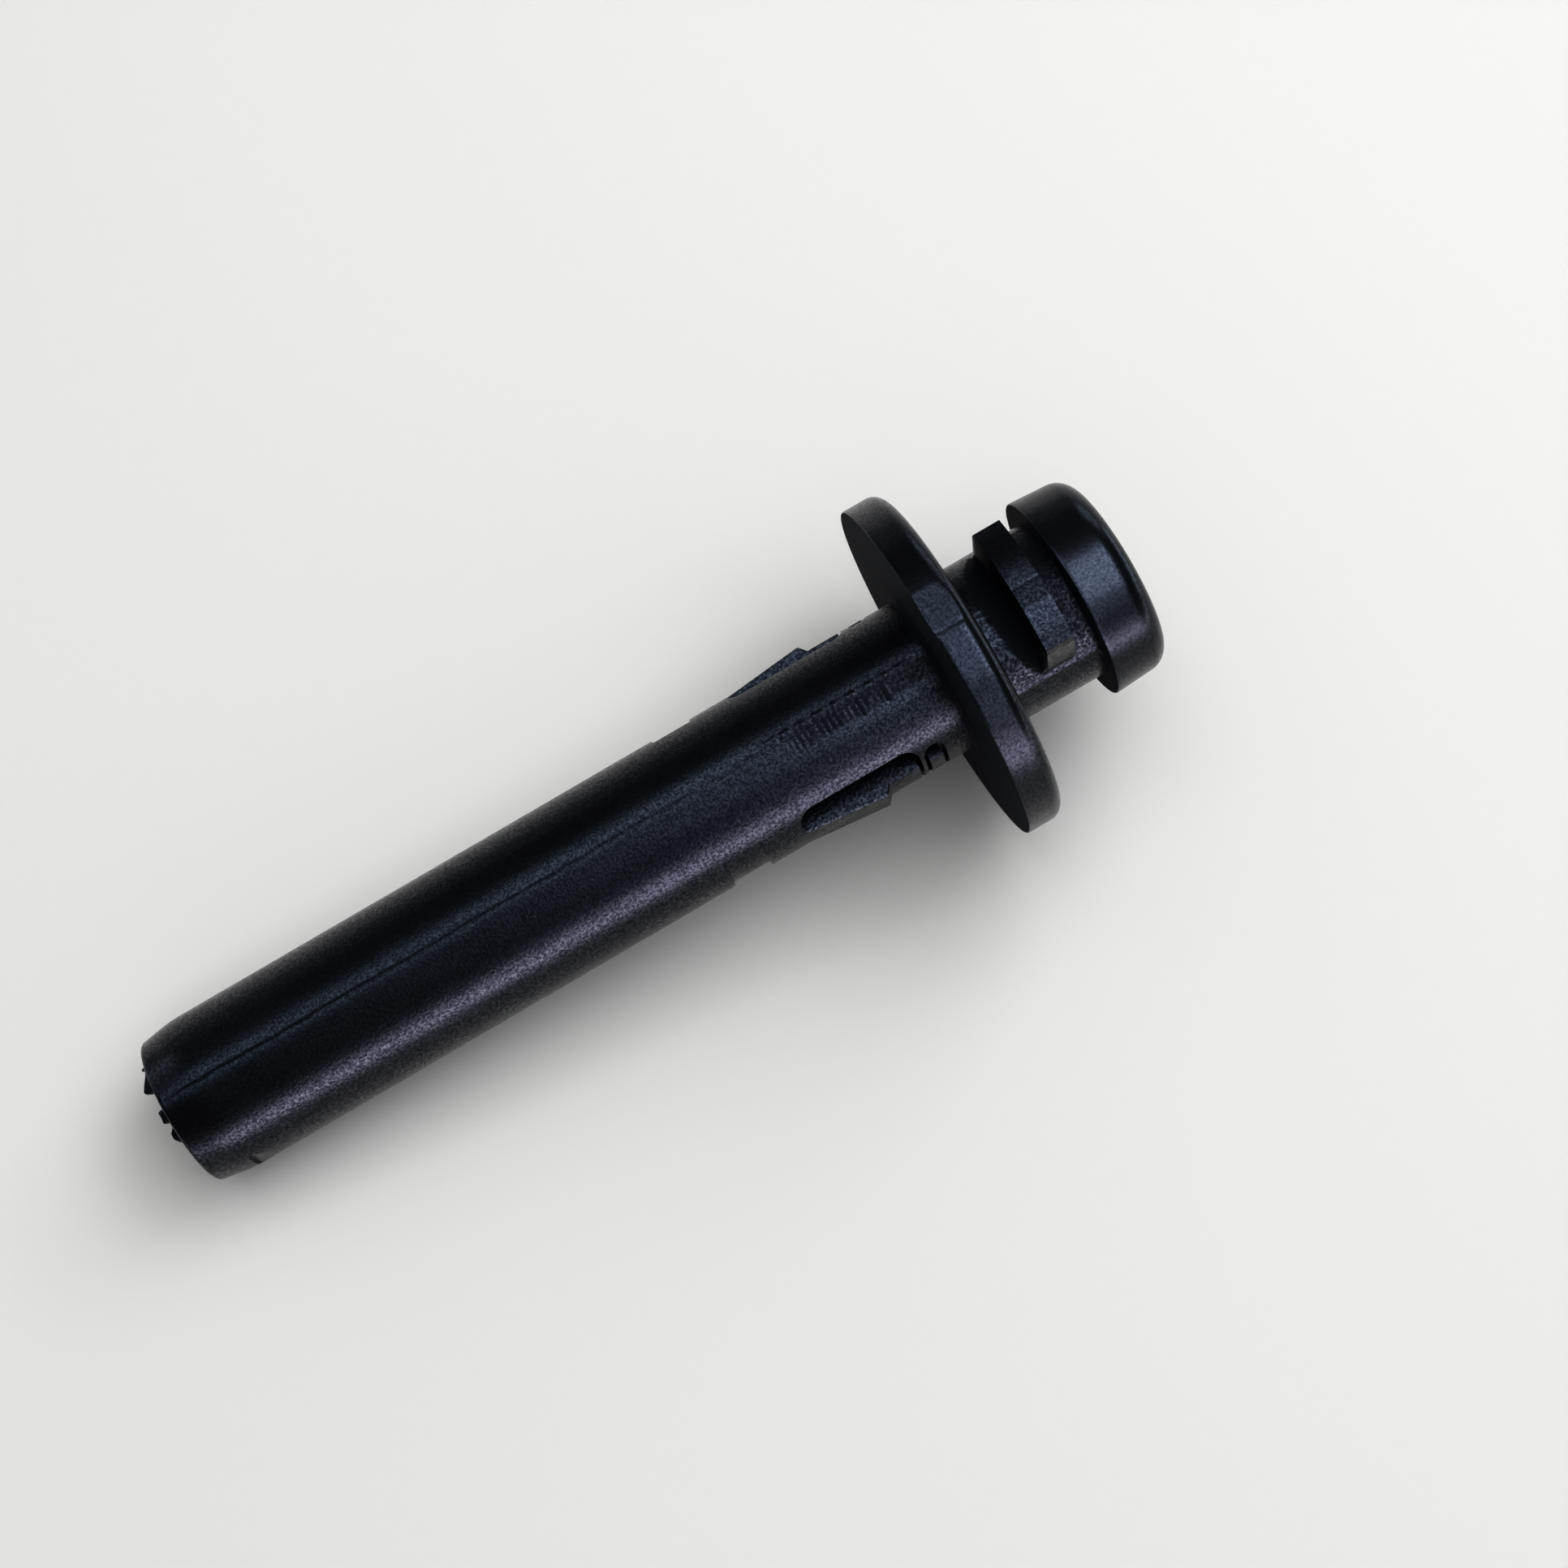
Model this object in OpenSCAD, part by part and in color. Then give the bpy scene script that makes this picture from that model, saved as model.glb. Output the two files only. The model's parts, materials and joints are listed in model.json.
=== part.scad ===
// Snap-in pin of a parcel shelf, moulded as one piece of black plastic.
// The shank pushes into the shelf up to the flange, two side tongues catch behind
// its wall, and the head and lug outside the flange take the holder.
// Millimetres. The pin is drawn along X with the seat face of the flange at x = 0 and
// the head towards +X, then laid down as it rests: on the flange's rim and the tip.

/* [Shank] */
// Diameter of the shank
shank_d = 10; // [9:0.1:12]
// Length of the shank, from the seat face of the flange to the tip
shank_l = 51.8; // [45:0.1:60]
// Diameter of the core hole that runs up the shank from the tip
core_d = 6.4; // [5:0.1:6.8]
// Plastic left between the end of the core hole and the end of the head
core_end_wall = 4; // [2.5:0.1:6]

/* [Tip] */
// Diameter at the small end of the lead-in taper
tip_d = 9.4; // [8.6:0.1:9.6]
// Length of the lead-in taper, with its rounded edge
tip_l = 2.1; // [1:0.1:2.4]
// Radius of the tip's outer edge
tip_edge_r = 0.3; // [0.1:0.05:0.6]

/* [Snap tongues] */
// Length of the window around each tongue
window_l = 8.05; // [7.2:0.05:9]
// Width of the window
window_w = 5.8; // [4.8:0.1:6.4]
// Corner radius of the window
window_r = 1; // [0.4:0.05:1.4]
// Distance from the seat face to the window
window_gap = 3.55; // [3.5:0.05:4.5]
// Width of a tongue
tongue_w = 2.4; // [1.6:0.1:2.8]
// Slit at the free end of a tongue
tongue_slit = 0.25; // [0.15:0.05:0.6]
// Height of the barb's crest above the shank
barb_h = 0.38; // [0.2:0.02:0.7]
// Length of the barb's ramp, from the tongue's root
barb_ramp_l = 5.15; // [4:0.05:5.8]
// Length of the barb's crest
barb_crest_l = 0.2; // [0.1:0.05:0.5]
// Length of the slope from the crest down to the catch
barb_back_l = 0.4; // [0.1:0.05:0.6]

/* [End pockets] */
// Distance from the seat face to the blind pocket behind each tongue
pocket_gap = 1.9; // [1.6:0.05:1.95]
// Length of a pocket
pocket_l = 1.4; // [1.35:0.05:1.5]
// Width of a pocket
pocket_w = 4.8; // [3.8:0.1:5.2]
// Corner radius of a pocket
pocket_r = 0.65; // [0.3:0.05:0.65]
// Depth of a pocket below the shank's surface
pocket_depth = 1; // [0.6:0.05:1.1]
// Gap around the stub in a pocket, along the shank
pocket_slit = 0.25; // [0.15:0.05:0.4]

/* [Side recesses] */
// Distance from the seat face to the shallow recess on each side
recess_gap = 14.2; // [13:0.1:20]
// Length of a recess
recess_l = 2.4; // [1.5:0.1:4]
// Width of a recess
recess_w = 4.8; // [3:0.1:6]
// Depth of a recess
recess_depth = 0.25; // [0.1:0.05:0.5]

/* [Flange] */
// Diameter of the flange
flange_d = 22.2; // [18:0.1:28]
// Thickness of the flange
flange_t = 2.5; // [2:0.1:3.5]
// Radius of the rim's edge on the head side
flange_back_r = 0.9; // [0.2:0.05:1.2]
// Width of the flat across the rim, at its top and bottom
rim_flat_w = 2.9; // [1.5:0.1:5]
// Fillet where shank and neck meet the flange
root_r = 0.3; // [0.1:0.05:0.6]

/* [Neck and lug] */
// Diameter of the neck
neck_d = 10.3; // [9.4:0.1:11.5]
// Length of the neck, from the flange to the head
neck_l = 6.4; // [5.6:0.1:9]
// Outer diameter of the lug on top of the neck
lug_d = 15.7; // [13.5:0.1:18]
// Width of the lug between its upright walls
lug_w = 8.5; // [6:0.1:9]
// Distance from the flange to the foot of the lug
lug_gap = 2.6; // [1.5:0.1:3]
// Thickness of the lug at its foot
lug_t = 2.15; // [1.5:0.05:2.5]
// Lean of the lug's front wall, measured at its crown
lug_lean = 0.35; // [0.1:0.05:0.8]

/* [Head] */
// Diameter of the head at the neck
head_d = 13.1; // [12:0.1:15]
// Diameter of the head where its end edge starts to turn in
head_end_d = 12.8; // [11.6:0.1:12.9]
// Length of the head
head_l = 3.85; // [3.2:0.05:6]
// Radius of the head's end edge
head_edge_r = 1.4; // [0.6:0.05:2]

/* [Flaws] */
// Depth of the nick in the side of the shank near the tip
nick_depth = 0.25; // [0.1:0.05:0.5]
// Length of the nick
nick_l = 1.2; // [0.6:0.1:2]
// Width of the nick
nick_w = 2.5; // [1:0.1:3]
// Distance from the tip to the nick
nick_gap = 2.55; // [2.5:0.05:6]
// Thickness of the torn bits of flash on the tip
flash_t = 0.35; // [0.2:0.05:0.6]
// Reach of the longest torn bit
flash_l = 0.6; // [0.3:0.05:1]

/* [Hidden] */
$fn = 96;

// A little overlap, so that joined shapes share material and cuts break through
lap = 0.2;
shank_r = shank_d / 2;
core_r = core_d / 2;
tip_r = tip_d / 2;
neck_r = neck_d / 2;
lug_r = lug_d / 2;
flange_r = flange_d / 2;
head_end_r = head_end_d / 2;
// Places along the pin
head_x = flange_t + neck_l;
end_x = head_x + head_l;
taper_x = tip_l - shank_l;
root_x = -window_gap - window_l;
lug_x = flange_t + lug_gap;
nick_x = nick_gap - shank_l;
// Depth of the core hole from the tip
core_l = shank_l + end_x - core_end_wall;
// Height of the rim's flat and of the tongue's edge above the axis
rim_flat_z = sqrt(pow(flange_r, 2) - pow(rim_flat_w / 2, 2));
tongue_edge_y = sqrt(pow(shank_r, 2) - pow(tongue_w / 2, 2));
// Ring of the tip's end face that carries the torn bits
flash_r = (core_r + tip_r - tip_edge_r) / 2 + flash_t / 2;
// Each torn bit: its two sides and the two ends of its crest across the tip, and its share of the reach
flash_bits = [[2.1, 0.6, 1.0, 0.85, 1], [-0.43, -1.26, -0.5, -1.2, 0.65], [-1.7, -2.45, -1.75, -2.2, 0.6]];
// Tilt at rest, and the box of the laid pin, which sets the origin
rest_tilt = atan((rim_flat_z - shank_r) / -taper_x);
low_x = -(shank_l + flash_l) * cos(rest_tilt) - (flash_z(flash_bits[0]) + flash_t / 2) * sin(rest_tilt);
high_x = (end_x - head_edge_r) * cos(rest_tilt) + (head_end_r - head_edge_r) * sin(rest_tilt) + head_edge_r;
rest_z = rim_flat_z * cos(rest_tilt);

// Height of a torn bit above the axis, on the ring of the end face
function flash_z(bit) = sqrt(pow(flash_r, 2) - pow((bit[0] + bit[1]) / 2, 2));

// Turns a shape drawn round Z so that it lies along the pin
module along_pin() {
    rotate([90, 0, 90]) children();
}

// Extrudes an outline of the pin's side view through the pin
module across_pin(h) {
    rotate([90, 0, 0]) linear_extrude(h, center = true) children();
}

// Flat rectangle with round corners, from the origin along +X and centred on the axis
module rounded_slot(l, w, r) {
    translate([r, -w / 2]) square([l - 2 * r, w]);
    translate([0, r - w / 2]) square([l, w - 2 * r]);
    for (x = [r, l - r], y = [r - w / 2, w / 2 - r]) translate([x, y]) circle(r);
}

// Concave corner of a revolved outline
module root_fillet() {
    difference() {
        translate([-lap, -lap]) square(root_r + lap);
        translate([root_r, root_r]) circle(root_r);
    }
}

// Half outline of the shank, from the tip to the flange
module shank_outline() {
    polygon([
        [0, lap], [shank_r, lap], [shank_r, taper_x], [tip_r, tip_edge_r - shank_l],
        [tip_r - tip_edge_r, tip_edge_r - shank_l], [tip_r - tip_edge_r, -shank_l], [0, -shank_l],
    ]);
    translate([tip_r - tip_edge_r, tip_edge_r - shank_l]) circle(tip_edge_r);
}

// Half outline of the flange, crisp on the seat side and rounded on the head side
module flange_outline() {
    square([flange_r - flange_back_r, flange_t]);
    square([flange_r, flange_t - flange_back_r]);
    translate([flange_r - flange_back_r, flange_t - flange_back_r]) circle(flange_back_r);
    translate([shank_r, 0]) mirror([0, 1]) root_fillet();
    translate([neck_r, flange_t]) root_fillet();
}

// Half outline of the neck and the head with its rounded end edge
module head_outline() {
    edge_x = end_x - head_edge_r;
    translate([0, flange_t - lap]) square([neck_r, neck_l + 2 * lap]);
    polygon([
        [0, head_x], [head_d / 2, head_x], [head_end_r, edge_x],
        [head_end_r - head_edge_r, edge_x], [head_end_r - head_edge_r, end_x], [0, end_x],
    ]);
    translate([head_end_r - head_edge_r, edge_x]) circle(head_edge_r);
}

// Lug on top of the neck: a slice of a ring between two upright walls
module lug() {
    intersection() {
        along_pin() rotate_extrude() polygon([
            [neck_r - lap, lug_x], [neck_r, lug_x], [lug_r, lug_x + lug_lean],
            [lug_r, lug_x + lug_t], [neck_r - lap, lug_x + lug_t],
        ]);
        translate([lug_x - lap, -lug_w / 2, 0]) cube([lug_t + 2 * lap, lug_w, lug_r + lap]);
    }
}

// Barb on one tongue: a long ramp from the root, a crest, and the slope that catches
module barb() {
    crest_y = shank_r + barb_h;
    crest_end = barb_ramp_l + barb_crest_l;
    translate([root_x, 0, 0]) linear_extrude(tongue_w, center = true) polygon([
        [0, tongue_edge_y - lap], [0, tongue_edge_y], [barb_ramp_l, crest_y], [crest_end, crest_y],
        [crest_end + barb_back_l, tongue_edge_y], [crest_end + barb_back_l, tongue_edge_y - lap],
    ]);
}

// Torn flash left standing on the end face of the tip
module tip_flash() {
    for (bit = flash_bits)
        translate([-shank_l, 0, flash_z(bit)]) linear_extrude(flash_t, center = true) polygon([
            [lap, bit[0]], [0, bit[0]], [-flash_l * bit[4], bit[2]],
            [-flash_l * bit[4], bit[3]], [0, bit[1]], [lap, bit[1]],
        ]);
}

// Slots that free the two tongues, open at the sides into the core hole
module tongue_slots() {
    across_pin(shank_d + 2 * lap) translate([root_x, 0]) difference() {
        rounded_slot(window_l, window_w, window_r);
        translate([-lap, -tongue_w / 2]) square([window_l - tongue_slit + lap, tongue_w]);
    }
}

// Blind pocket between a tongue and the flange, with a stub left standing in it
module end_pocket() {
    stub_l = pocket_l - 2 * pocket_slit;
    translate([-pocket_gap - pocket_l, shank_r - pocket_depth, 0]) rotate([-90, 0, 0])
        linear_extrude(pocket_depth + lap) difference() {
            rounded_slot(pocket_l, pocket_w, pocket_r);
            translate([pocket_slit, -tongue_w / 2]) square([stub_l, tongue_w]);
        }
}

// Shallow recesses on both sides, even in depth round the shank
module side_recesses() {
    intersection() {
        translate([-recess_gap - recess_l, 0, 0]) along_pin() difference() {
            cylinder(h = recess_l, r = shank_r + lap);
            translate([0, 0, -lap]) cylinder(h = recess_l + 2 * lap, r = shank_r - recess_depth);
        }
        translate([-shank_l, -shank_d, -recess_w / 2]) cube([shank_l, 2 * shank_d, recess_w]);
    }
}

// Nick in one side of the shank: a step at the tip end that runs out towards the flange
module side_nick() {
    translate([nick_x, -shank_r, 0]) linear_extrude(nick_w, center = true)
        polygon([[0, -lap], [0, nick_depth], [nick_l, 0], [nick_l, -lap]]);
}

// Flats across the rim of the flange, at its top and bottom
module rim_flats() {
    for (side = [0, 1]) mirror([0, 0, side])
        translate([-lap, -flange_r, rim_flat_z]) cube([flange_t + 2 * lap, flange_d, flange_r]);
}

// The pin drawn along X
module straight_pin() {
    difference() {
        union() {
            along_pin() rotate_extrude() {
                shank_outline();
                flange_outline();
                head_outline();
            }
            lug();
            barb();
            mirror([0, 1, 0]) barb();
            tip_flash();
        }
        translate([-shank_l - lap, 0, 0]) along_pin() cylinder(h = core_l + lap, r = core_r);
        tongue_slots();
        end_pocket();
        mirror([0, 1, 0]) end_pocket();
        side_recesses();
        side_nick();
        rim_flats();
    }
}

// The whole clip, laid down with its origin under the middle of its box
module clip_body() {
    color("#16161c")
        translate([-(low_x + high_x) / 2, 0, rest_z])
            rotate([0, -rest_tilt, 0]) straight_pin();
}

clip_body();
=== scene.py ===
"""Parcel shelf clip: the black snap-in pin as it lies on a pale table.

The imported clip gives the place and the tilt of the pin. The moulding is worked out in
millimetres along its own axis: x from the seat face of the flange towards the head, y across,
z up from the axis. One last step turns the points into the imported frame, in metres.
"""
import json
from math import acos, asin, cos, degrees, pi, radians, sin, sqrt

import bmesh
import bpy
import numpy as np
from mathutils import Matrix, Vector


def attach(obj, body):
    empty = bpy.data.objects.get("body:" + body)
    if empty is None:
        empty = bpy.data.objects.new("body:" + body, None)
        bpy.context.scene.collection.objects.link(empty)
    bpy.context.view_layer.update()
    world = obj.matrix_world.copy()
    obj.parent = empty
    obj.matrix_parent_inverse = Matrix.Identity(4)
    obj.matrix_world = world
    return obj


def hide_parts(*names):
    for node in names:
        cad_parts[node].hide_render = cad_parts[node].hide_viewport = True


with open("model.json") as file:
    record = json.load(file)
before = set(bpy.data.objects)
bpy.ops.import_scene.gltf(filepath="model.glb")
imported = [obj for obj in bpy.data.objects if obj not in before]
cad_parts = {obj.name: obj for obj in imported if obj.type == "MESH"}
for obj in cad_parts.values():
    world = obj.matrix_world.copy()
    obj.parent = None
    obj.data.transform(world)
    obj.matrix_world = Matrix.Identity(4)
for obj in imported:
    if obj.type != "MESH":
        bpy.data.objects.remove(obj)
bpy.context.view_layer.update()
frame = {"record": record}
scene = bpy.context.scene

# Camera
# The photograph looks steeply down on the lying pin, from the side of one snap tongue.
# Lens and place were fitted to the clip's outline in a square image 1932 pixels wide.
image_width_px = 1932
focal_length_px = 3446.8
sensor_width = 36.0
near_clip = 0.005
camera_azimuth = radians(-29.6)
camera_elevation = radians(72.0)
camera_distance = 0.16783
camera_aim = Vector((0.008674, -0.001034, 0.008878))
picture_gamma = 0.72

to_camera = Vector((sin(camera_azimuth) * cos(camera_elevation),
                    -cos(camera_azimuth) * cos(camera_elevation),
                    sin(camera_elevation)))
camera_data = bpy.data.cameras.new("camera")
camera_data.sensor_fit = "HORIZONTAL"
camera_data.sensor_width = sensor_width
camera_data.lens = focal_length_px / image_width_px * sensor_width
camera_data.clip_start = near_clip
camera = bpy.data.objects.new("camera", camera_data)
camera.location = camera_aim + camera_distance * to_camera
camera.rotation_euler = (-to_camera).to_track_quat("-Z", "Y").to_euler()
scene.collection.objects.link(camera)
scene.camera = camera
scene.view_settings.view_transform = "Standard"
scene.view_settings.gamma = picture_gamma

# Floor
# A plain pale table top, matt, much wider than the view.
floor_half_width = 6.0
floor_color = (0.75, 0.75, 0.75, 1)

floor_mesh = bpy.data.meshes.new("floor")
floor_corners = floor_half_width * np.array([(-1, -1, 0), (1, -1, 0), (1, 1, 0), (-1, 1, 0)])
floor_mesh.from_pydata(floor_corners.tolist(), [], [(0, 1, 2, 3)])
floor = bpy.data.objects.new("floor", floor_mesh)
scene.collection.objects.link(floor)
floor_material = bpy.data.materials.new("pale_table")
floor_material.use_nodes = True
floor_finish = floor_material.node_tree.nodes["Principled BSDF"]
floor_finish.inputs["Base Color"].default_value = floor_color
floor_finish.inputs["Roughness"].default_value = 1.0
floor_finish.inputs["Specular IOR Level"].default_value = 0.0
floor_mesh.materials.append(floor_material)

# Light
# Panels that only the sheen mirrors draw the highlights: level ones overhead, strips on the
# camera's side, and wide ones behind the pin and past its head, for the other views.
# A window over the head end, a ceiling light and the even room reach the matt surfaces only.
panel_height = 0.5
plumb_lean = 0.0001
pin_middle = (0, 0, 0.01)
blue_light = (0.74, 0.84, 1.0)
violet_light = (0.86, 0.83, 1.0)
room_color = (1.0, 1.0, 0.99)
room_strength = 0.40


def soft_panel(name, place, aim, width, height, color, radiance, on_sheen=True):
    """Rectangular lamp of even radiance: its power is the radiance times pi times its area."""
    lamp = bpy.data.lights.new(name, "AREA")
    lamp.shape = "RECTANGLE"
    lamp.size = width
    lamp.size_y = height
    lamp.color = color
    lamp.energy = radiance * pi * width * height
    stand = bpy.data.objects.new(name, lamp)
    stand.location = place
    stand.rotation_euler = (Vector(aim) - Vector(place)).to_track_quat("-Z", "Y").to_euler()
    stand.visible_camera = False
    stand.visible_glossy = on_sheen
    stand.visible_diffuse = not on_sheen
    scene.collection.objects.link(stand)


def level_panel(name, x, y, width, length, color, radiance, height=panel_height, on_sheen=True):
    """Panel that faces straight down, width along the pin and length across it.

    It leans off plumb by a hair, which settles how it is turned about the plumb line.
    """
    soft_panel(name, (x, y, height), (x, y + plumb_lean, 0), width, length, color, radiance, on_sheen)


level_panel("head_panel", 0.15, -0.11, 0.14, 0.46, (0.72, 0.82, 1.0), 13.5)
level_panel("far_panel", -0.02, 0.17, 0.10, 0.18, (0.68, 0.82, 1.0), 6.5)
level_panel("far_tip_panel", -0.26, 0.16, 0.42, 0.18, (0.62, 0.80, 1.0), 3.8)
level_panel("shank_panel", 0.02, -0.12, 0.08, 0.36, (0.66, 0.78, 1.0), 7.0)
level_panel("side_panel", 0.10, -0.66, 0.18, 0.54, (0.68, 0.78, 1.0), 5.5)
soft_panel("low_strip", (-0.02, -0.70, 0.10), (-0.02, 0, 0.01), 0.56, 0.16, violet_light, 9.0)
soft_panel("upper_strip", (0.02, -0.70, 0.25), (0.02, 0, 0.01), 0.32, 0.14, (0.82, 0.83, 1.0), 5.5)
soft_panel("near_strip", (0, -0.14, 0.013), (0, 0, 0.013), 0.6, 0.022, violet_light, 7.5)
soft_panel("back_panel", (0, 0.75, 0.16), pin_middle, 0.7, 0.20, blue_light, 0.5)
soft_panel("back_tip_panel", (-0.55, 0.55, 0.30), pin_middle, 0.5, 0.36, blue_light, 2.0)
soft_panel("back_head_panel", (0.55, 0.55, 0.30), pin_middle, 0.5, 0.36, blue_light, 3.0)
soft_panel("head_end_panel", (0.70, 0, 0.09), pin_middle, 0.6, 0.14, blue_light, 6.0)
soft_panel("window", (0.27, 0.09, 0.32), (0, 0, 0), 0.30, 0.30, (1.0, 0.995, 0.98), 2.2, on_sheen=False)
level_panel("ceiling", 0.12, -0.02, 0.60, 0.60, room_color, 2.1, height=0.55, on_sheen=False)
room = bpy.data.worlds.new("room")
room.use_nodes = True
room.node_tree.nodes["Background"].inputs["Color"].default_value = (*room_color, 1)
room.node_tree.nodes["Background"].inputs["Strength"].default_value = room_strength
room.cycles_visibility.glossy = False
scene.world = room

# Moulded clip
# One injection moulding of black satin plastic that snaps into a hole in a shelf's edge: a hollow
# shank with two spring tongues cut free in side windows, a flange, a neck with a lug, and a head.
# An angle round the axis is counted in degrees from the top, towards the camera's side.
shank_r, shank_l = 5.0, 51.8
core_r, core_end_x = 3.2, 8.75
tip_r, tip_l, tip_edge_r = 4.7, 2.1, 0.3
taper_x, taper_blend = tip_l - shank_l, 0.7
root_r = 0.3
flange_r, flange_t, flange_back_r, flange_edge_r = 11.1, 2.5, 0.9, 0.08
rim_flat_half_w = 1.45
neck_r = 5.15
lug_r, lug_half_w, lug_edge = 7.85, 4.25, 0.11
lug_x, lug_lean, lug_end_x, lug_back_room = 5.1, 0.35, 7.25, 0.1
head_x, head_end_x = 8.9, 12.748
head_r, head_end_r, head_edge_r, head_lip_r, head_middle_r = 6.55, 6.4, 1.4, 0.08, 0.4
# Openings cut straight in from both sides
window_x, window_end_x, window_half_w, window_r = -11.6, -3.55, 2.9, 1.0
tongue_half_w, tongue_end_x, tongue_edge = 1.2, -3.8, 0.1
barb_h, barb_crest_x, barb_crest_end_x, barb_end_x = 0.38, -6.45, -6.25, -5.85
pocket_x, pocket_end_x, pocket_half_w, pocket_r, pocket_floor_y = -3.3, -1.9, 2.4, 0.65, 4.0
stub_x, stub_end_x = -3.05, -2.15
recess_x, recess_end_x, recess_half_w, recess_depth, recess_slope = -16.6, -14.2, 2.4, 0.25, 0.12
# Damage near the tip: a nick in the side, and a ring of the end face with torn bits on it
nick_x, nick_l, nick_depth = -49.25, 1.2, 0.25
torn_r, torn_middle_r, torn_end_r = 3.8, 3.97, 4.15
# Length of a steep step between two rows, and a margin far below any size of the clip
nick_step, tongue_step, torn_step = 0.03, 0.02, 0.02
tiny = 0.001


def arc(x_centre, r_centre, radius, start, end, count):
    """Points (x, r) on a circle at even angles, in degrees, with 0 towards +x and 90 towards +r."""
    turn = np.radians(np.linspace(start, end, count))
    return np.stack([x_centre + radius * np.cos(turn), r_centre + radius * np.sin(turn)], axis=1)


def line(start, end, count):
    """Points (x, r) at even steps between two points, without the two ends."""
    return np.linspace(start, end, count + 2)[1:-1]


def steps(start, end, pitch):
    """Places at even steps of about the given pitch, both ends included."""
    return np.linspace(start, end, int(np.ceil((end - start) / pitch)) + 1)


def corner_places(start, end, radius, count):
    """Places along a slot that its round corners need: even angles over the arcs at both ends."""
    inset = radius * (1 - np.cos(np.linspace(0, pi / 2, count)))
    return np.concatenate([start + inset, end - inset])


# The skin is a grid, and the openings are cut from it. Its rows follow the plain turned outline
# from the tip to the head, as places along the pin with their radius.
shank_x = np.unique(np.round(np.concatenate([
    steps(taper_x, nick_x - nick_step, 0.2), steps(nick_x, nick_x + nick_l, 0.1),
    steps(nick_x + nick_l, recess_x - recess_slope, 0.4),
    steps(recess_x, recess_end_x, 0.3), steps(recess_end_x + recess_slope, window_x, 0.25),
    corner_places(window_x, window_end_x, window_r, 8),
    steps(window_x + window_r, window_end_x - window_r, 0.1),
    [barb_crest_x, barb_crest_end_x, barb_end_x, tongue_end_x - tongue_step, tongue_end_x],
    corner_places(pocket_x, pocket_end_x, pocket_r, 6),
    [stub_x, stub_end_x], steps(pocket_end_x, -root_r, 0.2)]), 3))[:-1]
shank_outline = np.stack([shank_x, np.full(len(shank_x), shank_r)], axis=1)
tip_face_r = np.array([core_r, 3.5, torn_r - torn_step, torn_r, torn_middle_r,
                       torn_end_r, torn_end_r + torn_step, 4.28])
tip_outline = np.concatenate([
    np.stack([np.full(len(tip_face_r), -shank_l), tip_face_r], axis=1),
    arc(tip_edge_r - shank_l, tip_r - tip_edge_r, tip_edge_r, 180, 90, 7),
    line((tip_edge_r - shank_l, tip_r), (taper_x, shank_r), 8)])
flange_outline = np.concatenate([
    arc(-root_r, shank_r + root_r, root_r, 270, 360, 6),
    line((0, shank_r + root_r), (0, flange_r - flange_edge_r), 18),
    arc(flange_edge_r, flange_r - flange_edge_r, flange_edge_r, 180, 90, 4),
    line((flange_edge_r, flange_r), (flange_t - flange_back_r, flange_r), 8),
    arc(flange_t - flange_back_r, flange_r - flange_back_r, flange_back_r, 90, 0, 10),
    line((flange_t, flange_r - flange_back_r), (flange_t, neck_r + root_r), 9),
    arc(flange_t + root_r, neck_r + root_r, root_r, 180, 270, 6)])
neck_outline = np.concatenate([line((flange_t + root_r, neck_r), (lug_x, neck_r), 14), [(lug_x, neck_r)]])
lug_climb = np.linspace(0, 1, 10)[1:]
lug_drop = np.linspace(1, 0, 8)
lug_front_outline = np.stack([lug_x + lug_lean * lug_climb, np.full(len(lug_climb), neck_r)], axis=1)
lug_crown_outline = line((lug_x + lug_lean, neck_r), (lug_end_x, neck_r), 14)
lug_back_x = lug_end_x + lug_back_room * (1 - lug_drop)
lug_back_outline = np.stack([lug_back_x, np.full(len(lug_drop), neck_r)], axis=1)
head_outline = np.concatenate([
    line((lug_end_x + lug_back_room, neck_r), (head_x, neck_r), 10), [(head_x, neck_r)],
    line((head_x, neck_r), (head_x, head_r - head_lip_r), 6),
    arc(head_x + head_lip_r, head_r - head_lip_r, head_lip_r, 180, 90, 4),
    line((head_x + head_lip_r, head_r), (head_end_x - head_edge_r, head_end_r), 10),
    arc(head_end_x - head_edge_r, head_end_r - head_edge_r, head_edge_r, 90, 0, 14),
    line((head_end_x, head_end_r - head_edge_r), (head_end_x, head_middle_r), 8),
    [(head_end_x, head_middle_r)]])
stretches = {"tip": tip_outline, "shank": shank_outline, "flange": flange_outline, "neck": neck_outline,
             "lug_front": lug_front_outline, "lug_crown": lug_crown_outline, "lug_back": lug_back_outline,
             "head": head_outline}
outline = np.concatenate(list(stretches.values()))
rows = len(outline)
row_x, row_r = outline[:, :1], outline[:, 1:]
stretch_of_row = np.repeat(list(stretches), [len(stretch) for stretch in stretches.values()])[:, None]
on_tip = stretch_of_row == "tip"
on_shank = stretch_of_row == "shank"
on_flange = stretch_of_row == "flange"
on_lug_rows = np.char.startswith(stretch_of_row, "lug")
on_neck = (stretch_of_row == "neck") | on_lug_rows | ((stretch_of_row == "head") & (row_x < head_x))
lug_rise = np.zeros((rows, 1))
lug_rise[on_lug_rows] = np.concatenate([lug_climb, np.ones(len(lug_crown_outline)), lug_drop])

# Columns run from the top round to the bottom on the camera's side, then back up the far side.
# Marked columns follow the edges of the side openings and both lines of the tongue's broken
# edge, and on the neck the lug's walls and the ledge. They are closest in a band at the top.
band_end = 20.0
cells_between_marks = [30, 18, 10, 1, 5, 5, 1, 10, 14]
marks = np.cumsum([0] + cells_between_marks)
columns = 2 * marks[-1]
mark_of_cell = np.repeat(np.arange(len(cells_between_marks)), cells_between_marks)
mark_of_cell = np.concatenate([mark_of_cell, mark_of_cell[::-1]])


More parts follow.
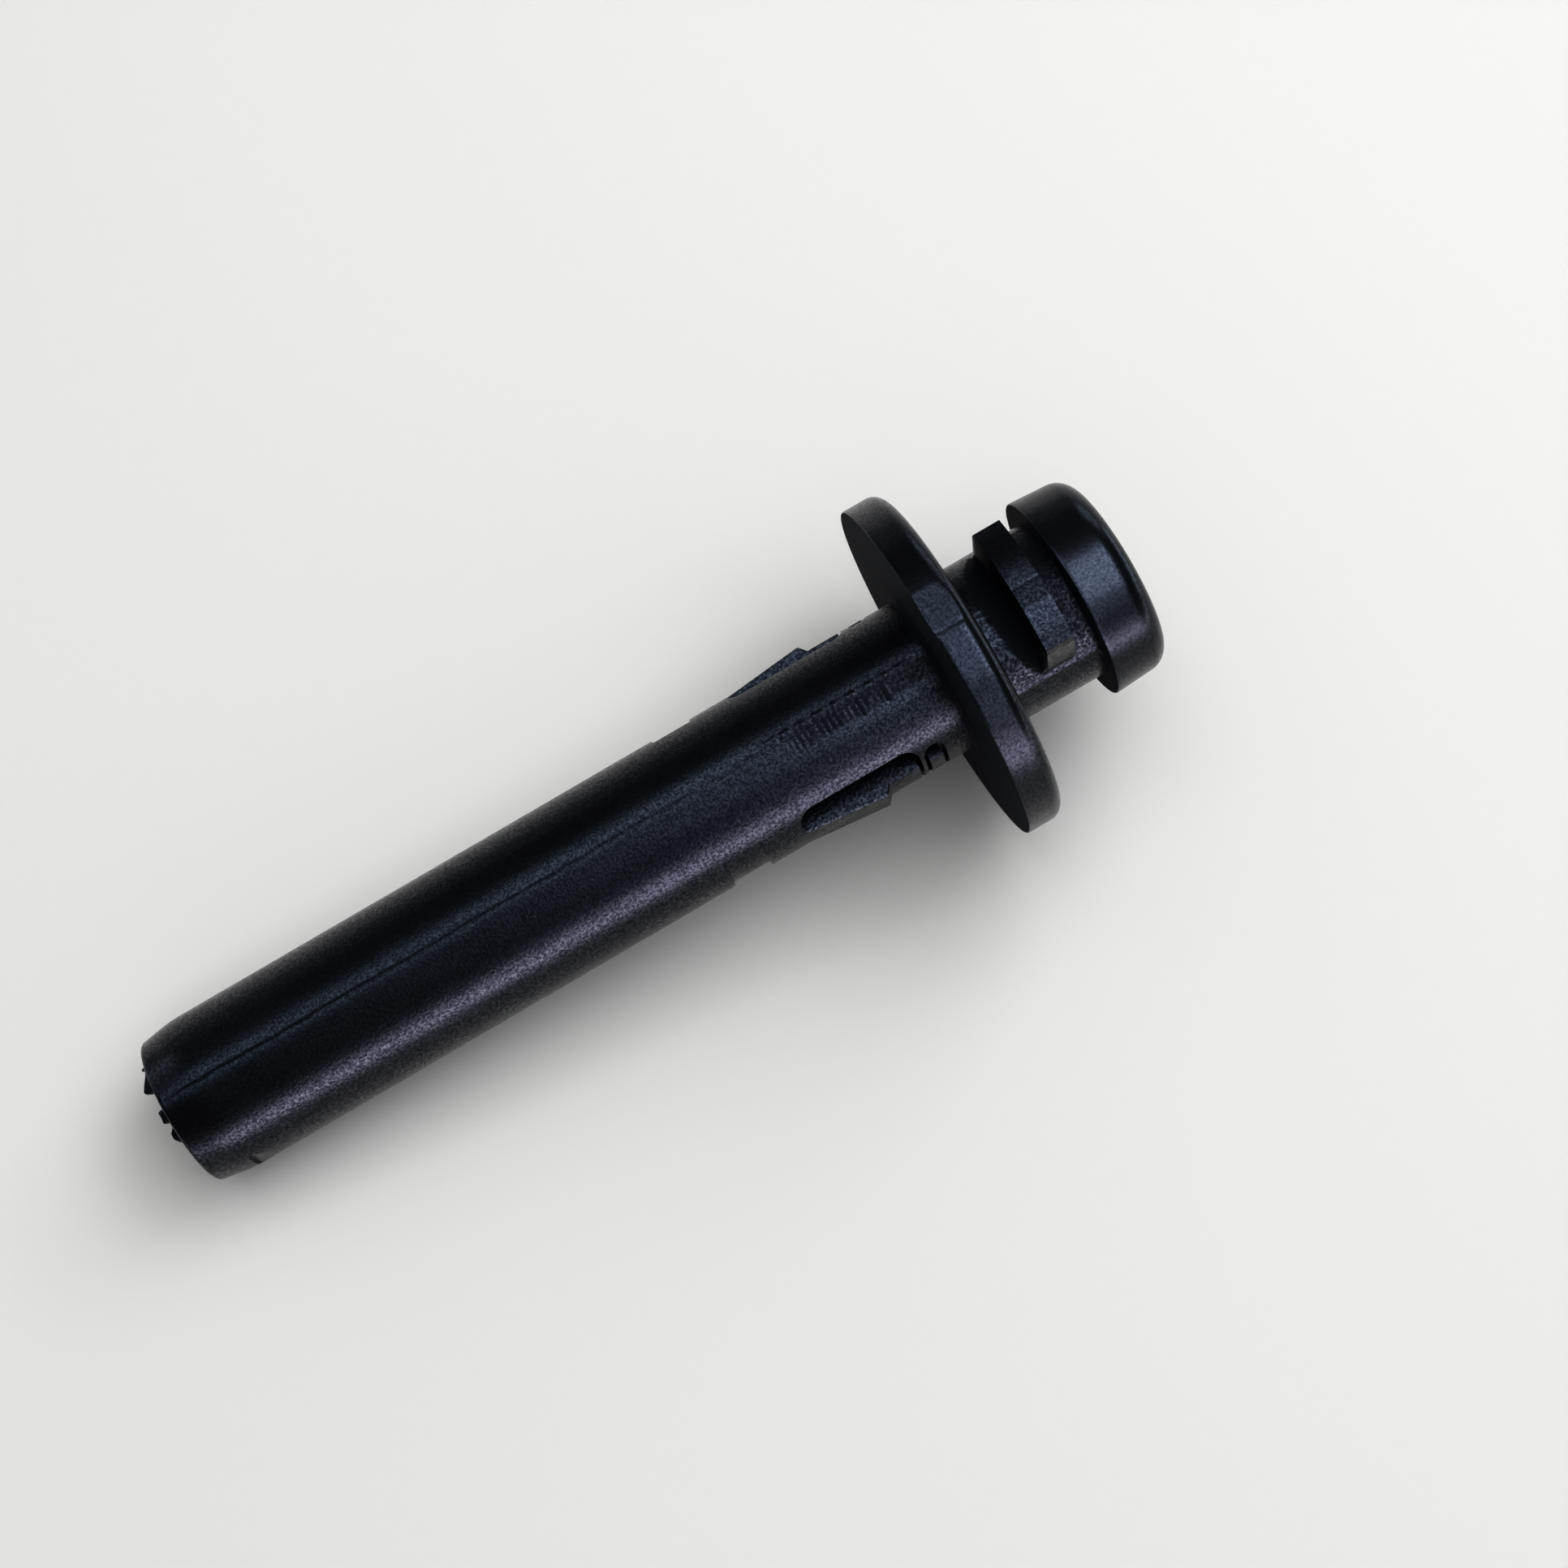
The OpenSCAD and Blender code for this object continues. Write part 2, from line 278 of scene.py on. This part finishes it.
def column_angles(opening_angle, tongue_angle, inner_angle):
    """Angles of all columns, one line per row.

    Even steps between the marked columns on the camera's side, mirrored on the far side.
    """
    fixed = np.ones_like(opening_angle)
    stops = np.concatenate([
        0 * fixed, band_end * fixed, opening_angle, tongue_angle, inner_angle, 90 * fixed,
        180 - inner_angle, 180 - tongue_angle, 180 - opening_angle, 180 * fixed], axis=1)
    place = np.arange(marks[-1] + 1)
    part = np.minimum(np.searchsorted(marks, place, side="right") - 1, len(marks) - 2)
    share = (place - marks[part]) / (marks[part + 1] - marks[part])
    half = stops[:, part] * (1 - share) + stops[:, part + 1] * share
    return np.concatenate([half[:, :-1], -half[:, :0:-1]], axis=1)


recess_ease_l, recess_ease_half_w = 1.0, 2.2


def opening_half_width(x):
    """Half width of the side openings at x: straight sides, round corners, plain lines between."""

    def rounded(start, end, half_w, radius):
        inset = np.clip(np.minimum(x - start, end - x), 0, radius)
        return half_w - radius + np.sqrt(radius ** 2 - (radius - inset) ** 2)

    in_window = (x >= window_x) & (x <= window_end_x)
    in_pocket = (x >= pocket_x) & (x <= pocket_end_x)
    window_end_half_w = window_half_w - window_r
    pocket_end_half_w = pocket_half_w - pocket_r
    plain = np.interp(
        x, [recess_end_x, recess_end_x + recess_ease_l, window_x, window_end_x, pocket_x, pocket_end_x],
        [recess_half_w, recess_ease_half_w, window_end_half_w, window_end_half_w,
         pocket_end_half_w, pocket_end_half_w])
    width = np.where(in_window, rounded(window_x, window_end_x, window_half_w, window_r), plain)
    return np.where(in_pocket, rounded(pocket_x, pocket_end_x, pocket_half_w, pocket_r), width)


wall_foot = degrees(asin(lug_half_w / neck_r))
past_ledge, past_ledge_end = 64.0, 66.0
slot_angle = np.degrees(np.arccos(opening_half_width(row_x) / shank_r))
tongue_line = degrees(acos(tongue_half_w / shank_r))
inner_line = degrees(acos((tongue_half_w - tongue_edge) / shank_r))
opening_angle = np.where(on_tip | on_shank, slot_angle, wall_foot)
tongue_angle = np.where(on_neck, past_ledge, tongue_line)
inner_angle = np.where(on_neck, past_ledge_end, inner_line)
angle = column_angles(opening_angle, tongue_angle, inner_angle)
lean = np.abs(angle)
x = np.repeat(row_x, columns, axis=1)
radius = np.repeat(row_r, columns, axis=1)
taper_slope = (shank_r - tip_r) / (tip_l - tip_edge_r)
to_blend_end = np.clip(taper_x + taper_blend - x, 0, 2 * taper_blend)
blended_r = shank_r - taper_slope * to_blend_end ** 2 / (4 * taper_blend)
radius = np.where((on_tip | on_shank) & (np.abs(x - taper_x) <= taper_blend), blended_r, radius)


def ripple(place, waves):
    """Uneven line: a sum of sine waves, each given as height, waves per millimetre and phase."""
    return sum(height * np.sin(2 * pi * pitch * place + phase) for height, pitch, phase in waves)


def ramp(place, zero, length):
    """Straight climb from 0 at zero to 1 a length away, level beyond; a negative length goes down."""
    return np.clip((place - zero) / length, 0, 1)


def bell(offset, width):
    """Bell curve: e to the power of minus the square of offset over width."""
    return np.exp(-(offset / width) ** 2)


# Parting line: a fine step with a groove, where the halves of the mould meet along the shank's top
parting_x, parting_end_x, parting_angle = -51.5, -2.5, 3.7
step_depth, step_w, step_fade, step_reach = 0.03, 0.6, 5.4, 18
line_depth, line_w = 0.04, 0.9
parting_line = parting_angle + ripple(x, [(0.35, 0.11, 0.4), (0.25, 0.43, 1.9), (0.2, 1.3, 0.7)])
past_line = angle - parting_line
step_tail = np.exp(-np.clip(past_line, 0, step_reach) / step_fade)
parting_step = step_depth * ramp(past_line, 0, step_w) * step_tail + line_depth * bell(past_line, line_w)
parting_fade = ramp(x, parting_x, 2) * ramp(x, parting_end_x, -2)
radius = radius - np.where(on_tip | on_shank, parting_step * parting_fade, 0)

# Tool chatter beside the line, a low ridge of flash along the top, and a ledge low on the neck
chatter_x, chatter_end_x, chatter_pitch, chatter_depth = -10.4, -2.8, 0.40, 0.05
chatter_angle, chatter_end_angle = 2.8, 15.0
flash_x, flash_end_x, flash_h, flash_w = -12.5, -1.2, 0.03, 1.8
ledge_x, ledge_angle, ledge_h, ledge_w = 3.0, 59.8, 0.05, 1.3
chatter_phase = x / chatter_pitch + ripple(x, [(0.22, 0.31, 0.0), (0.07, 0.83, 1.1)])
chatter = np.clip(np.cos(2 * pi * chatter_phase), 0, 1) ** 2
chatter_reach = chatter_end_angle + ripple(x, [(2.0, 0.52, 0.3), (1.5, 1.37, 2.0)])
chatter_start = ramp(x, chatter_x, 1.2)
chatter_mask = (chatter_start * ramp(x, chatter_end_x, -0.8)
                * ramp(angle, chatter_angle, 0.7) * ramp(angle, chatter_reach, -1.5))
radius = radius - np.where(on_shank, chatter_depth * chatter * chatter_mask, 0)
flash_ridge = ((flash_h + ripple(x, [(0.02, 0.9, 0.5), (0.02, 2.3, 1.4)])) * bell(angle, flash_w)
               * ramp(x, flash_x, 2) * ramp(x, flash_end_x, -0.6))
radius = radius + np.where(on_shank, flash_ridge, 0)
ledge = ((ledge_h + ripple(x, [(0.015, 0.7, 0.2), (0.015, 1.9, 1.0)])) * bell(angle - ledge_angle, ledge_w)
         * ramp(x, ledge_x, 0.4))
radius = radius + np.where(on_neck, ledge, 0)

y = -radius * np.sin(np.radians(angle))
z = radius * np.cos(np.radians(angle))

# Lug: the columns between the crown's edge and the wall's foot stand on an upright wall, the
# columns above lie on the crown, which has two fine lines across it. The front leans, the back
# is square, and a hollow web runs up to the front, longest on the far side.
web_angles = [-56, -40, -16, 13, 42, 56]
web_lengths = [0.05, 0.9, 1.7, 1.35, 0.8, 0.05]
crown_base = 36.0
crown_line_y, crown_line_depth, crown_line_w = -1.52, 0.035, 0.09
faint_line_y, faint_line_depth, faint_line_w = -0.3, 0.021, 0.07
web_l = np.interp(angle, web_angles, web_lengths)
web_share = ramp(x, lug_x - web_l, web_l)
web_top = web_l / (lug_r - neck_r)
web_rise = web_top * (1 - np.sqrt(1 - web_share ** 2))
crown_edge = degrees(asin(lug_half_w / lug_r)) - degrees(lug_edge / lug_r)
crown_angle = angle * crown_edge / crown_base
on_crown = lean <= crown_base
wall_share = ramp(lean, crown_base, wall_foot - crown_base)
wall_top_z = sqrt(lug_r ** 2 - lug_half_w ** 2) - lug_edge
wall_foot_z = sqrt(neck_r ** 2 - lug_half_w ** 2)
crown_y = -lug_r * np.sin(np.radians(crown_angle))
crown_r = (lug_r - crown_line_depth * bell(crown_y - crown_line_y, crown_line_w)
           - faint_line_depth * bell(crown_y - faint_line_y, faint_line_w))
lug_y = np.where(on_crown, crown_y, -np.sign(angle) * lug_half_w)
lug_z = np.where(on_crown, crown_r * np.cos(np.radians(crown_angle)),
                 wall_top_z + (wall_foot_z - wall_top_z) * wall_share)
rise = np.where(stretch_of_row == "neck", web_rise, lug_rise)
rise = np.where(stretch_of_row == "lug_front", web_top + (1 - web_top) * lug_rise, rise)
rise = rise * (lean <= wall_foot + tiny)
y = y + rise * (lug_y - y)
z = z + rise * (lug_z - z)
x = np.where((stretch_of_row == "lug_back") & (rise > 0), lug_end_x, x)

# Flats across the rim at its top and bottom, with a fine line across the top one
rim_band, rim_line_y, rim_line_depth, rim_line_w = 0.5, -1.22, 0.045, 0.14
rim_flat_z = sqrt(flange_r ** 2 - rim_flat_half_w ** 2)
z = np.where(on_flange, np.clip(z, tiny - rim_flat_z, rim_flat_z), z)
on_rim = on_flange & (radius > flange_r - rim_band) & (z > 0)
z = z - np.where(on_rim, rim_line_depth * bell(y - rim_line_y, rim_line_w), 0)

# Barbs on the tongues, with broken edges along the tongues and the stubs
tongue_edge_y = sqrt(shank_r ** 2 - tongue_half_w ** 2)
barb_y = np.interp(x, [window_x, barb_crest_x, barb_crest_end_x, barb_end_x],
                   [tongue_edge_y, shank_r + barb_h, shank_r + barb_h, tongue_edge_y])
on_barb = on_shank & (np.abs(z) <= tongue_half_w + tiny) & (x > window_x) & (x < barb_end_x)
y = np.where(on_barb, np.sign(y) * np.maximum(np.abs(y), barb_y), y)
on_edge_line = on_shank & (np.abs(np.abs(z) - tongue_half_w) < tiny)
beside_tongue = (x > window_x) & (x <= tongue_end_x)
beside_stub = (x >= stub_x) & (x <= stub_end_x)
on_free_edge = on_edge_line & (beside_tongue | beside_stub)
y = y - np.where(on_free_edge, np.sign(y) * tongue_edge, 0)

# Recesses in both sides, the nick near the tip, and the torn bits, which stand out by their reach
into_recess = np.minimum(x - recess_x, recess_end_x - x) + recess_slope
in_recess = on_shank & (np.abs(z) <= recess_half_w + tiny)
recess_scale = 1 - np.where(in_recess, ramp(into_recess, 0, recess_slope) * recess_depth / shank_r, 0)
y = y * recess_scale
z = z * recess_scale
nick_floor = -shank_r + nick_depth * ramp(x, nick_x + nick_l, -nick_l)
in_nick = on_shank & (x > nick_x - tiny) & (x < nick_x + nick_l) & (np.abs(z) <= tongue_half_w + tiny)
y = np.where(in_nick, np.maximum(y, nick_floor), y)
torn_y = [-2.45, -2.4, -2.2, -1.75, -1.7, -1.26, -1.2, -0.9, -0.5, -0.43,
          0.6, 0.85, 1.0, 1.5, 1.9, 2.15, 2.35, 2.5, 2.6]
torn_reach = [0, 0.24, 0.36, 0.3, 0, 0, 0.39, 0.33, 0.36, 0,
              0, 0.53, 0.58, 0.36, 0.17, 0.1, 0.12, 0.4, 0]
on_end_face = on_tip & (x < tiny - shank_l) & (z > 0)
on_torn_ring = on_end_face & (radius > torn_r - tiny) & (radius < torn_end_r + tiny)
x = x - np.where(on_torn_ring, np.interp(y, torn_y, torn_reach), 0)
outer = np.stack([x, y, z], axis=2)

# Core hole: the tube's inside, on the same columns, so that the window's walls run straight in.
# Away from the window it needs only every ninth row.
core_row_pitch = 9
beside_window = (shank_x >= window_x - tiny) & (shank_x <= window_end_x + tiny)
core_pick = beside_window | (np.arange(len(shank_x)) % core_row_pitch == core_row_pitch // 2)
core_x = np.concatenate([shank_x[core_pick], np.linspace(0, core_end_x, 5)])[:, None]
core_opening = np.degrees(np.arccos(opening_half_width(core_x) / core_r))
core_tongue = np.full(core_x.shape, degrees(acos(tongue_half_w / core_r)))
core_inner = np.full(core_x.shape, degrees(acos((tongue_half_w - tongue_edge) / core_r)))
core_angle = np.radians(column_angles(core_opening, core_tongue, core_inner))
core = np.stack([np.repeat(core_x, columns, axis=1),
                 -core_r * np.sin(core_angle), core_r * np.cos(core_angle)], axis=2)

# Cells cut away by the windows and the pockets. Counted between the marked columns, stretches
# 2 to 7 lie in an opening, and 3 to 6 on the tongue or the stub that stands in it.
cell_x = (row_x[:-1] + row_x[1:]) / 2
shank_cell = on_shank[:-1] & on_shank[1:]
slot_columns = (mark_of_cell >= 2) & (mark_of_cell <= 7)
tongue_columns = (mark_of_cell >= 3) & (mark_of_cell <= 6)
window_cut = (shank_cell & (cell_x > window_x) & (cell_x < window_end_x) & slot_columns
              & ~(tongue_columns & (cell_x < tongue_end_x)))
pocket_cut = (shank_cell & (cell_x > pocket_x) & (cell_x < pocket_end_x) & slot_columns
              & ~(tongue_columns & (cell_x > stub_x) & (cell_x < stub_end_x)))
shank_first = np.flatnonzero(on_shank)[0]
core_row = np.full(rows, -1)
core_row[np.flatnonzero(core_pick) + shank_first] = np.arange(core_pick.sum())
core_cut = np.zeros((len(core_x) - 1, columns), bool)
window_cells = np.flatnonzero(window_cut.any(axis=1))
core_cut[core_row[window_cells]] = window_cut[window_cells]
pocket_cells = np.flatnonzero(pocket_cut.any(axis=1))
pocket_rows = np.arange(pocket_cells[0], pocket_cells[-1] + 2)
pocket_row = np.arange(rows) - pocket_rows[0]
pocket_floor = outer[pocket_rows]
pocket_floor[:, :, 1] = np.sign(pocket_floor[:, :, 1]) * pocket_floor_y


def kept_cells(first, keep):
    """Corner numbers of the kept cells of a grid whose columns close round the axis."""
    i, j = np.nonzero(keep)
    k = (j + 1) % columns
    near, far = i * columns, (i + 1) * columns
    return first + np.stack([near + j, near + k, far + k, far + j], axis=1)


def walls(cut, low_first, low_row):
    """Walls of an opening: each grid edge between a cut and a kept cell, carried to the lower grid."""
    along_i, along_j = np.nonzero(cut != np.roll(cut, 1, axis=1))
    blank = np.zeros((1, columns), bool)
    round_i, round_j = np.nonzero(np.concatenate([blank, cut]) != np.concatenate([cut, blank]))
    start = np.concatenate([np.stack([along_i, along_j]), np.stack([round_i, round_j])], axis=1)
    along_end = np.stack([along_i + 1, along_j])
    round_end = np.stack([round_i, (round_j + 1) % columns])
    end = np.concatenate([along_end, round_end], axis=1)
    low_start = low_first + low_row[start[0]] * columns + start[1]
    low_end = low_first + low_row[end[0]] * columns + end[1]
    return np.stack([start[0] * columns + start[1], end[0] * columns + end[1], low_end, low_start], axis=1)


# All points in one list: the outer skin, the head's middle, the core hole, its end, the pockets' floors
head_pole = rows * columns
core_first = head_pole + 1
core_last = core_first + (len(core_x) - 1) * columns
core_pole = core_last + columns
floor_first = core_pole + 1
ring = np.arange(columns)
next_ring = (ring + 1) % columns
quads = np.concatenate([
    kept_cells(0, ~(window_cut | pocket_cut)), kept_cells(core_first, ~core_cut),
    kept_cells(floor_first, pocket_cut[pocket_cells[0]:pocket_cells[-1] + 1]),
    walls(window_cut, core_first, core_row), walls(pocket_cut, floor_first, pocket_row),
    np.stack([ring, next_ring, core_first + next_ring, core_first + ring], axis=1)])
last_ring = (rows - 1) * columns
fans = np.concatenate([
    np.stack([last_ring + ring, last_ring + next_ring, np.full(columns, head_pole)], axis=1),
    np.stack([core_last + ring, core_last + next_ring, np.full(columns, core_pole)], axis=1)])
points = np.concatenate([outer.reshape(-1, 3), [(head_end_x, 0, 0)], core.reshape(-1, 3),
                         [(core_end_x, 0, 0)], pocket_floor.reshape(-1, 3)])

# The pin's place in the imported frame: the seat's centre, and the axis from the seat to the head
seat = next(mount for mount in frame["record"]["mounts"] if mount["name"] == "flange_seat")
to_head = -np.array(seat["axis"])
upward = np.array([-to_head[2], 0, to_head[0]])
from_seat = points[:, :1] * to_head + points[:, 1:2] * (0, 1, 0) + points[:, 2:] * upward
placed = np.array(seat["pos_m"]) + from_seat / 1000

# Where the surface is coarse: the top of the neck, a band on the lug, and the sides of the tongues
neck_top_angle, neck_top_end_angle = -14, 52
crown_band_y, crown_band_end_y = -1.55, -0.25
web_start = 0.02
crown_coarse, tongue_coarse, tongue_inside_coarse = 0.4, 0.5, 0.8
neck_top = on_neck & (angle > neck_top_angle) & (angle < neck_top_end_angle) & (rise < web_start)
crown_band = (rise > 1 - tiny) & (y > crown_band_y) & (y < crown_band_end_y)
tongue_skin = on_shank & (np.abs(z) <= tongue_half_w + tiny) & (x > window_x) & (x < window_end_x)
in_window = (core_x > window_x) & (core_x < window_end_x)
tongue_inside = (np.abs(core[:, :, 2]) <= tongue_half_w + tiny) & in_window
coarse = np.zeros(len(points))
coarse[:head_pole] = (neck_top + crown_coarse * crown_band + tongue_coarse * tongue_skin).ravel()
coarse[core_first:core_pole] = tongue_inside_coarse * tongue_inside.ravel()

# Where it is dull: the seat, the head's back face, the web, the band on the lug, a band along the
# chatter, and the groove behind the lug. The grain is shallower on the flange and on the head.
crown_dull, chatter_dull, groove_dull = 0.55, 0.6, 0.6
chatter_band_angle, chatter_band_end_angle, groove_end_angle = -1, 17, 30
flange_grain, head_grain = 0.6, 0.45
on_web = (stretch_of_row == "neck") & (web_share > web_start) & (lean < wall_foot)
dull_face = (on_flange & (x < tiny)) | (np.abs(x - head_x) < tiny) | on_web
chatter_band = np.where(on_shank, chatter_start * ramp(angle, chatter_band_angle, 3)
                        * ramp(angle, chatter_band_end_angle, -3), 0)
in_groove = on_neck & (x > lug_end_x + tiny) & (lean < wall_foot)
groove_shade = np.where(in_groove, ramp(angle, groove_end_angle, -8), 0)
dull = np.zeros(len(points))
dull[:head_pole] = (dull_face + crown_dull * crown_band + chatter_dull * chatter_band
                    + groove_dull * groove_shade).ravel()
on_head = (stretch_of_row == "head") & (x >= head_x)
grain_depth = np.ones(len(points))
grain_depth[:head_pole] = np.where(on_flange, flange_grain, np.where(on_head, head_grain, 1.0)).ravel()

# Points that no face uses are left out, and the faces are turned outwards
sharp_angle = radians(32)
used = np.unique(np.concatenate([quads.ravel(), fans.ravel()]))
new_number = np.zeros(len(points), int)
new_number[used] = np.arange(len(used))
clip_mesh = bpy.data.meshes.new("moulded_clip")
clip_mesh.from_pydata(placed[used].tolist(), [], new_number[quads].tolist() + new_number[fans].tolist())
for mask_name, mask in (("coarse", coarse), ("dull", dull), ("grain_depth", grain_depth)):
    clip_mesh.attributes.new(mask_name, "FLOAT", "POINT").data.foreach_set("value", mask[used])
clip = bpy.data.objects.new("moulded_clip", clip_mesh)
scene.collection.objects.link(clip)
skin = bmesh.new()
skin.from_mesh(clip_mesh)
bmesh.ops.recalc_face_normals(skin, faces=skin.faces)
skin.to_mesh(clip_mesh)
skin.free()
clip_mesh.shade_smooth()
clip_mesh.set_sharp_from_angle(angle=sharp_angle)


class Layer:
    """One value that changes over a surface: a node's output, whose sums and products add Math nodes."""

    def __init__(self, tree, socket=None):
        self.tree = tree
        self.socket = socket

    def make(self, kind, settings, sockets, result=0):
        """New node: its settings are set first, then its sockets, from numbers, colours or other layers."""
        node = self.tree.nodes.new(kind)
        for name, setting in settings.items():
            setattr(node, name, setting)
        for name, value in sockets.items():
            if isinstance(value, Layer):
                self.tree.links.new(value.socket, node.inputs[name])
            else:
                node.inputs[name].default_value = value
        return Layer(self.tree, node.outputs[result])

    def maths(self, operation, first, second):
        """Math node on two numbers or layers."""
        return self.make("ShaderNodeMath", {"operation": operation}, {0: first, 1: second})

    def __add__(self, other):
        return self.maths("ADD", self, other)

    def __radd__(self, other):
        return self.maths("ADD", other, self)

    def __sub__(self, other):
        return self.maths("SUBTRACT", self, other)

    def __rsub__(self, other):
        return self.maths("SUBTRACT", other, self)

    def __mul__(self, other):
        return self.maths("MULTIPLY", self, other)

    def __rmul__(self, other):
        return self.maths("MULTIPLY", other, self)


# Black plastic: nearly black, in faint patches, under a satin sheen that breaks up into the fine
# speckle of the moulded grain. Crumbs of a coarser grain add to it on the coarse stretches.
dark_tone = (0.0035, 0.0035, 0.005, 1)
pale_tone = (0.0065, 0.0065, 0.0095, 1)
plain_roughness, patch_roughness, dull_roughness = 0.22, 0.12, 0.65
sheen_weight, dull_loss = 0.33, 0.85
grain_mean, grain_contrast, grain_height = 0.5, 3.2, 0.8
crumb_mean, crumb_contrast, crumb_height = 0.56, 2.6, 2.0
relief_depth = 0.00003

black_plastic = bpy.data.materials.new("black_plastic")
black_plastic.use_nodes = True
tree = black_plastic.node_tree
finish = tree.nodes["Principled BSDF"]
finish.inputs["Specular IOR Level"].default_value = 0.18
finish.inputs["Specular Tint"].default_value = (0.72, 0.81, 1.0, 1)
finish.inputs["Coat IOR"].default_value = 1.45
finish.inputs["Coat Roughness"].default_value = 0.26
surface = Layer(tree)
place = surface.make("ShaderNodeTexCoord", {}, {}, "Object")
coarse_mask = surface.make("ShaderNodeAttribute", {"attribute_name": "coarse"}, {}, "Fac")
dull_mask = surface.make("ShaderNodeAttribute", {"attribute_name": "dull"}, {}, "Fac")
grain_mask = surface.make("ShaderNodeAttribute", {"attribute_name": "grain_depth"}, {}, "Fac")
grain = surface.make("ShaderNodeTexNoise", {},
                     {"Vector": place, "Scale": 6000.0, "Detail": 2.0, "Roughness": 0.6})
patches = surface.make("ShaderNodeTexNoise", {},
                       {"Vector": place, "Scale": 220.0, "Detail": 3.0, "Roughness": 0.6})
crumbs = surface.make("ShaderNodeTexNoise", {},
                      {"Vector": place, "Scale": 4400.0, "Detail": 0.6, "Roughness": 0.5})
height = grain_mask * grain * grain_height + coarse_mask * crumbs * crumb_height
relief = surface.make("ShaderNodeBump", {}, {"Height": height, "Distance": relief_depth, "Strength": 1.0})
roughness = plain_roughness + patches * patch_roughness + dull_mask * dull_roughness
speckle = ((sheen_weight + (grain - grain_mean) * grain_mask * grain_contrast
            + (crumbs - crumb_mean) * coarse_mask * crumb_contrast) * (1.0 - dull_mask * dull_loss))
tone = surface.make("ShaderNodeMix", {"data_type": "RGBA"}, {0: patches, 6: dark_tone, 7: pale_tone}, 2)
tree.links.new(tone.socket, finish.inputs["Base Color"])
tree.links.new(roughness.socket, finish.inputs["Roughness"])
tree.links.new(relief.socket, finish.inputs["Normal"])
tree.links.new(speckle.socket, finish.inputs["Coat Weight"])
clip_mesh.materials.append(black_plastic)
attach(clip, "root")
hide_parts("clip_body")
